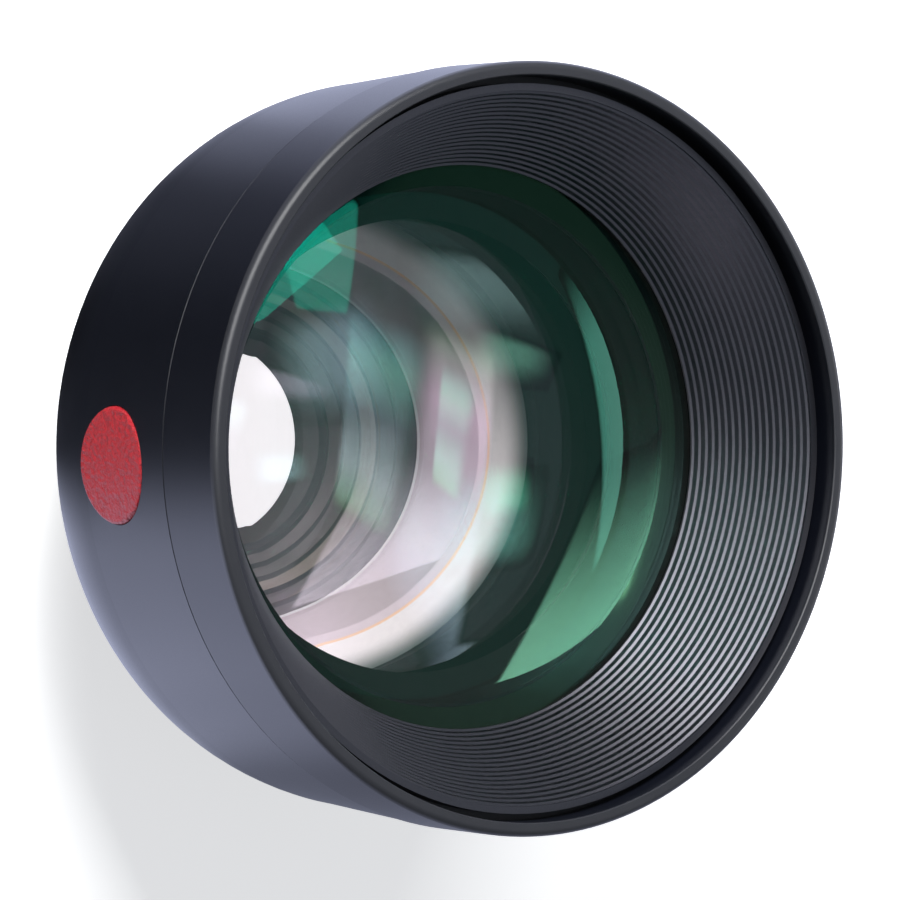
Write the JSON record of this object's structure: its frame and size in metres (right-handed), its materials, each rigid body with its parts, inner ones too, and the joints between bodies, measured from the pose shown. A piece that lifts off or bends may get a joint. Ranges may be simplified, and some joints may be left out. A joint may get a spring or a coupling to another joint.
{
  "type": "mobile telephoto lens",
  "caption": "Screw-together telephoto lens for a phone: wide coated glass behind a ribbed flared hood, rounded black barrel with a round red badge, and a bayonet at the rear.",
  "frame": {"origin": "centre of the rear face of the bayonet, on the optical axis, which is also the bottom centre of the box", "axes": "+Z along the optical axis towards the front glass; the round badge is on the -Y side"},
  "size_m": [0.043, 0.043, 0.0295],
  "materials": {
    "anodised_black": "satin black anodised",
    "baffle_black": "black anodised, turned ribs",
    "rubber_black": "matt",
    "front_glass": "polished, green multilayer coating",
    "inner_glass": "polished, coated",
    "stop_black": "matt black film",
    "cell_black": "matt black anodised",
    "badge_red": "red, fine orange-peel grain",
    "adhesive": "thin adhesive pad",
    "brass_shim": "rolled strip",
    "mount_metal": "black anodised",
    "screw_steel": "blackened steel"
  },
  "bodies": {
    "root": {"front_ring": "anodised_black", "ribbed_baffle": "baffle_black", "cushion_ring": "rubber_black", "front_element": "front_glass", "front_light_stop": "stop_black", "front_spacer": "cell_black", "pair_flint": "inner_glass", "pair_crown": "inner_glass", "middle_spacer": "cell_black", "rear_element": "inner_glass", "rear_light_stop": "stop_black", "rear_retainer": "cell_black", "lens_cell": "cell_black", "cell_lock_ring": "cell_black", "barrel": "anodised_black", "badge": "badge_red", "badge_pad": "adhesive", "shim_ring": "brass_shim", "bayonet_mount": "mount_metal", "mount_screws": "screw_steel", "locating_pin": "screw_steel"}
  },
  "joints": []
}
